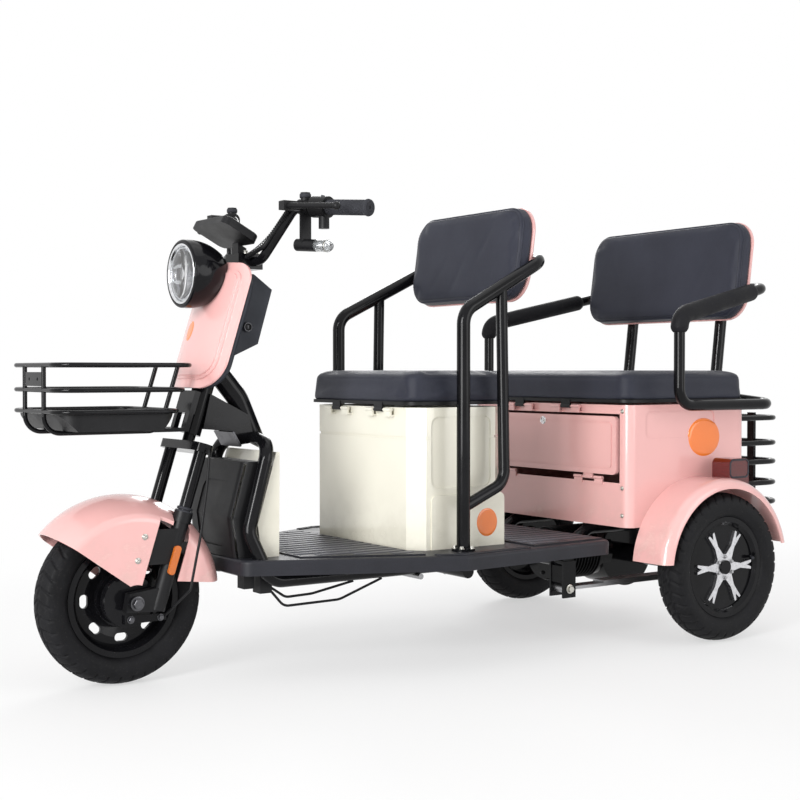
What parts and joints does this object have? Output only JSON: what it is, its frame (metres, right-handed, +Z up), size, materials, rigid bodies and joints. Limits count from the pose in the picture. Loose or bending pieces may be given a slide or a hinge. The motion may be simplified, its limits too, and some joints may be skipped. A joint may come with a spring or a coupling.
{
  "type": "electric tricycle",
  "caption": "Electric passenger tricycle with raked front fork, wire basket, step-through deck, box seats with padded backrests, rear chest with drop door and rear rack",
  "frame": {"origin": "on the floor under the middle of the overall box", "axes": "+Z up, forward along -X, the rider's left along -Y"},
  "size_m": [2.052, 0.88, 1.1042],
  "materials": {
    "frame_paint": "gloss",
    "pink_panel": "gloss",
    "cream_panel": "gloss",
    "grey_plastic": "satin",
    "black_plastic": "satin",
    "vinyl": "satin",
    "tyre": "matte",
    "rim_black": "satin",
    "silver": "satin",
    "steel": "satin",
    "rubber": "matte",
    "clear_glass": "clear",
    "amber": "gloss",
    "red_lens": "gloss",
    "mat": "matte",
    "battery": "matte"
  },
  "bodies": {
    "chassis": {"frame": "frame_paint", "deck": "grey_plastic", "deck_mats": "mat", "splash_guard": "black_plastic", "leg_panel": "cream_panel", "front_shield": "pink_panel", "column_cover": "grey_plastic", "headlight_shell": "black_plastic", "headlight_lens": "clear_glass", "basket": "frame_paint", "basket_tray": "black_plastic", "front_seat_box": "cream_panel", "battery": "battery", "handrails": "frame_paint", "front_backrest": "vinyl", "front_backrest_shell": "pink_panel", "rear_chest": "pink_panel", "rear_fenders": "pink_panel", "tail_lamps": "red_lens", "armrests": "frame_paint", "armrest_pads": "rubber", "rear_backrest": "vinyl", "rear_backrest_shell": "pink_panel", "rear_rack": "frame_paint", "rear_axle": "frame_paint", "leaf_springs": "steel", "brake_shaft": "steel", "neck_plate": "silver", "switch_boxes": "black_plastic", "rear_brake_cables": "black_plastic"},
    "steering": {"fork": "frame_paint", "fork_sliders": "frame_paint", "front_fender": "pink_panel", "front_axle": "steel", "handlebar": "frame_paint", "grips": "rubber", "bar_controls": "black_plastic", "turn_lamps": "black_plastic", "turn_lenses": "clear_glass", "dash": "black_plastic", "front_brake_cable": "black_plastic", "fork_reflectors": "amber", "bar_loom": "black_plastic"},
    "front_wheel": {"front_rim": "rim_black", "front_tyre": "tyre"},
    "rear_left_wheel": {"rear_left_rim": "rim_black", "rear_left_tyre": "tyre", "rear_left_star": "silver"},
    "rear_right_wheel": {"rear_right_rim": "rim_black", "rear_right_tyre": "tyre", "rear_right_star": "silver"},
    "front_seat": {"front_lid": "black_plastic", "front_cushion": "vinyl"},
    "rear_seat": {"rear_lid": "black_plastic", "rear_cushion": "vinyl"},
    "chest_door": {"chest_door": "pink_panel"}
  },
  "joints": [
    {"name": "steering", "type": "hinge", "parent": "chassis", "child": "steering", "pos_m": [-0.532, 0, 0.946], "axis": [0.299, 0, 0.9542], "range_deg": [-40, 40]},
    {"name": "front_wheel_spin", "type": "hinge", "parent": "steering", "child": "front_wheel", "pos_m": [-0.831, 0, 0.19], "axis": [0, 1, 0], "continuous": true},
    {"name": "rear_left_spin", "type": "hinge", "parent": "chassis", "child": "rear_left_wheel", "pos_m": [0.643, -0.396, 0.19], "axis": [0, 1, 0], "continuous": true},
    {"name": "rear_right_spin", "type": "hinge", "parent": "chassis", "child": "rear_right_wheel", "pos_m": [0.643, 0.396, 0.19], "axis": [0, 1, 0], "continuous": true},
    {"name": "front_seat_tilt", "type": "hinge", "parent": "chassis", "child": "front_seat", "pos_m": [-0.2045, 0, 0.6], "axis": [0, -1, 0], "range_deg": [0, 85]},
    {"name": "rear_seat_tilt", "type": "hinge", "parent": "chassis", "child": "rear_seat", "pos_m": [0.3885, 0, 0.6], "axis": [0, -1, 0], "range_deg": [0, 85]},
    {"name": "chest_door_drop", "type": "hinge", "parent": "chassis", "child": "chest_door", "pos_m": [0.397, 0, 0.4175], "axis": [0, -1, 0], "range_deg": [0, 90]}
  ]
}
